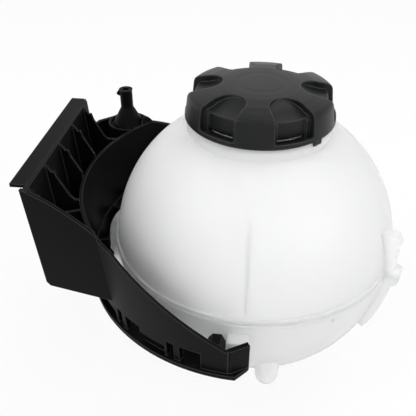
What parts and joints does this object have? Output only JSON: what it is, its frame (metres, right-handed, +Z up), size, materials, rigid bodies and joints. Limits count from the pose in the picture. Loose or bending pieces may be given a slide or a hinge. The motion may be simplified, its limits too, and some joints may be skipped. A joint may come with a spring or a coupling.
{
  "type": "coolant expansion tank with bracket and screw cap",
  "caption": "Round translucent coolant expansion tank in a ribbed black bracket, with a lobed screw cap and its valves.",
  "frame": {"origin": "centre of the end face of the outlet stub, under the tank", "axes": "+Z up along the tank's, neck's and cap's common axis, +X away from the bracket's box, +Y along the bracket's top strip"},
  "size_m": [0.1879, 0.1814, 0.1875],
  "materials": {
    "tank_plastic": "translucent natural, satin",
    "bracket_plastic": "fine grained matt black",
    "cap_plastic": "satin charcoal",
    "valve_plastic": "satin",
    "seal_rubber": "smooth",
    "sleeve_steel": "zinc plated, turned",
    "valve_brass": "turned",
    "spring_steel": "drawn wire"
  },
  "bodies": {
    "tank": {"tank_lower": "tank_plastic", "tank_upper": "tank_plastic", "bracket": "bracket_plastic", "bolt_sleeves": "sleeve_steel"},
    "valve_unit": {"valve_body": "valve_plastic", "valve_cover": "valve_plastic", "valve_orings": "seal_rubber", "neck_gasket": "seal_rubber", "pressure_spring": "spring_steel"},
    "cap": {"cap_grip": "cap_plastic", "cap_thread_ring": "cap_plastic"},
    "pressure_valve": {"pressure_plate": "valve_brass", "pressure_seal": "seal_rubber", "vacuum_spring": "spring_steel"},
    "vacuum_valve": {"vacuum_valve": "valve_brass", "vacuum_clip": "spring_steel"}
  },
  "joints": [
    {"name": "cap_lift", "type": "slide", "parent": "tank", "child": "valve_unit", "axis": [0, 0, 1], "range_m": [0, 0.00601]},
    {"name": "cap_turn", "type": "hinge", "parent": "valve_unit", "child": "cap", "pos_m": [0, 0, 0.171], "axis": [0, 0, 1], "range_deg": [0, 540]},
    {"name": "pressure_valve_lift", "type": "slide", "parent": "valve_unit", "child": "pressure_valve", "axis": [0, 0, 1], "range_m": [0, 0.0025], "stiffness_N_per_m": 4000, "springref_m": -0.005, "deforming": ["pressure_spring"]},
    {"name": "vacuum_valve_drop", "type": "slide", "parent": "pressure_valve", "child": "vacuum_valve", "axis": [0, 0, -1], "range_m": [0, 0.0015], "stiffness_N_per_m": 200, "springref_m": -0.002, "deforming": ["vacuum_spring"]}
  ],
  "couplings": [
    {"joint": "cap_lift", "follows": "cap_turn", "m_per_rad": 0.00063662}
  ]
}
